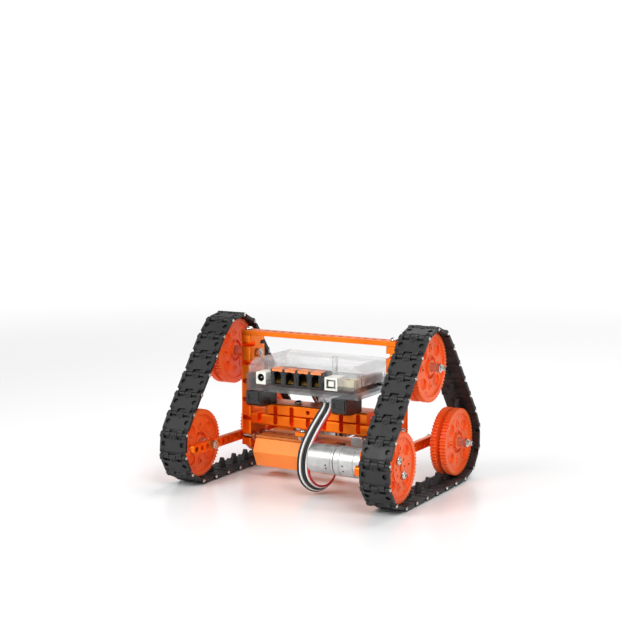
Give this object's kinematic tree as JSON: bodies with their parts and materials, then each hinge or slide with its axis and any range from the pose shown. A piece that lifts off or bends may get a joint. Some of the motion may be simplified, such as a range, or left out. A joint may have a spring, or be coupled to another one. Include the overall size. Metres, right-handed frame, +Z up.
{
  "type": "tracked coding robot",
  "caption": "Small educational robot on two triangular tracks, with a slotted orange beam frame, gear motors, a battery case and a clear-cased controller.",
  "frame": {"origin": "middle of the overall box, on the floor that the tracks stand on", "axes": "+X across the robot, from the left track to the right one; +Y from the front, where the controller's sockets are, to the back; +Z up"},
  "size_m": [0.227, 0.1787, 0.1396],
  "materials": {
    "anodised_orange": "anodised satin orange",
    "wheel_plastic": "moulded orange-red plastic",
    "track_plastic": "moulded black plastic",
    "steel": "zinc-plated steel",
    "motor_steel": "plated motor steel",
    "battery_paint": "matt orange",
    "cell_wrap": "shrink-wrapped",
    "clear_plastic": "clear moulded",
    "circuit_board": "solder-masked board",
    "black_plastic": "moulded black",
    "white_plastic": "moulded white",
    "black_rubber": "matt black",
    "cable_skin": "soft ribbon insulation"
  },
  "bodies": {
    "chassis": {"upright_right": "anodised_orange", "side_rail_right": "anodised_orange", "rail_screw_right_front": "steel", "rail_screw_right_back": "steel", "upright_screw_right": "steel", "top_bar_screw_right": "steel", "stack_bolt_right": "steel", "track_right": "track_plastic", "motor_can_right": "motor_steel", "gearbox_right": "motor_steel", "motor_bracket_right": "anodised_orange", "axle_right_top": "steel", "axle_right_back": "steel", "upright_left": "anodised_orange", "side_rail_left": "anodised_orange", "rail_screw_left_front": "steel", "rail_screw_left_back": "steel", "upright_screw_left": "steel", "top_bar_screw_left": "steel", "stack_bolt_left": "steel", "track_left": "track_plastic", "motor_can_left": "motor_steel", "gearbox_left": "motor_steel", "motor_bracket_left": "anodised_orange", "axle_left_top": "steel", "axle_left_front": "steel", "cross_beam_lower": "anodised_orange", "cross_beam_upper": "anodised_orange", "top_bar": "anodised_orange", "hanger_tab": "anodised_orange", "hanger_bolt": "steel", "hanger_angle": "anodised_orange", "battery_case": "battery_paint", "battery_lid": "battery_paint", "battery_cells": "cell_wrap", "controller_tray": "clear_plastic", "controller_cover": "clear_plastic", "controller_board": "circuit_board", "port_block": "black_plastic", "usb_socket": "white_plastic", "foot_left": "black_rubber", "foot_right": "black_rubber", "ribbon_cable_front": "cable_skin", "ribbon_cable_back": "cable_skin"},
    "wheel_right_top": {"wheel_inner_right_top": "wheel_plastic", "wheel_outer_right_top": "wheel_plastic"},
    "wheel_right_front": {"wheel_inner_right_front": "wheel_plastic", "wheel_outer_right_front": "wheel_plastic", "drive_hub_right": "steel"},
    "wheel_right_back": {"wheel_inner_right_back": "wheel_plastic", "wheel_outer_right_back": "wheel_plastic"},
    "wheel_left_top": {"wheel_inner_left_top": "wheel_plastic", "wheel_outer_left_top": "wheel_plastic"},
    "wheel_left_front": {"wheel_inner_left_front": "wheel_plastic", "wheel_outer_left_front": "wheel_plastic"},
    "wheel_left_back": {"wheel_inner_left_back": "wheel_plastic", "wheel_outer_left_back": "wheel_plastic", "drive_hub_left": "steel"},
    "power_switch": {"power_switch": "black_plastic"},
    "reset_button": {"reset_button": "white_plastic"}
  },
  "joints": [
    {"name": "wheel_right_top_spin", "type": "hinge", "parent": "chassis", "child": "wheel_right_top", "pos_m": [0.094, 0, 0.106], "axis": [1, 0, 0], "continuous": true},
    {"name": "wheel_right_front_spin", "type": "hinge", "parent": "chassis", "child": "wheel_right_front", "pos_m": [0.094, -0.056, 0.034], "axis": [1, 0, 0], "continuous": true},
    {"name": "wheel_right_back_spin", "type": "hinge", "parent": "chassis", "child": "wheel_right_back", "pos_m": [0.094, 0.056, 0.034], "axis": [1, 0, 0], "continuous": true},
    {"name": "wheel_left_top_spin", "type": "hinge", "parent": "chassis", "child": "wheel_left_top", "pos_m": [-0.094, 0, 0.106], "axis": [1, 0, 0], "continuous": true},
    {"name": "wheel_left_front_spin", "type": "hinge", "parent": "chassis", "child": "wheel_left_front", "pos_m": [-0.094, -0.056, 0.034], "axis": [1, 0, 0], "continuous": true},
    {"name": "wheel_left_back_spin", "type": "hinge", "parent": "chassis", "child": "wheel_left_back", "pos_m": [-0.094, 0.056, 0.034], "axis": [1, 0, 0], "continuous": true},
    {"name": "power_switch_slide", "type": "slide", "parent": "chassis", "child": "power_switch", "axis": [0, 1, 0], "range_m": [0, 0.003]},
    {"name": "reset_button_press", "type": "slide", "parent": "chassis", "child": "reset_button", "axis": [0, 0, -1], "range_m": [0, 0.0006], "stiffness_N_per_m": 600, "springref_m": -0.0005}
  ],
  "couplings": [
    {"joint": "wheel_right_top_spin", "follows": "wheel_right_front_spin", "ratio": 1},
    {"joint": "wheel_right_back_spin", "follows": "wheel_right_front_spin", "ratio": 1},
    {"joint": "wheel_left_top_spin", "follows": "wheel_left_back_spin", "ratio": 1},
    {"joint": "wheel_left_front_spin", "follows": "wheel_left_back_spin", "ratio": 1}
  ]
}
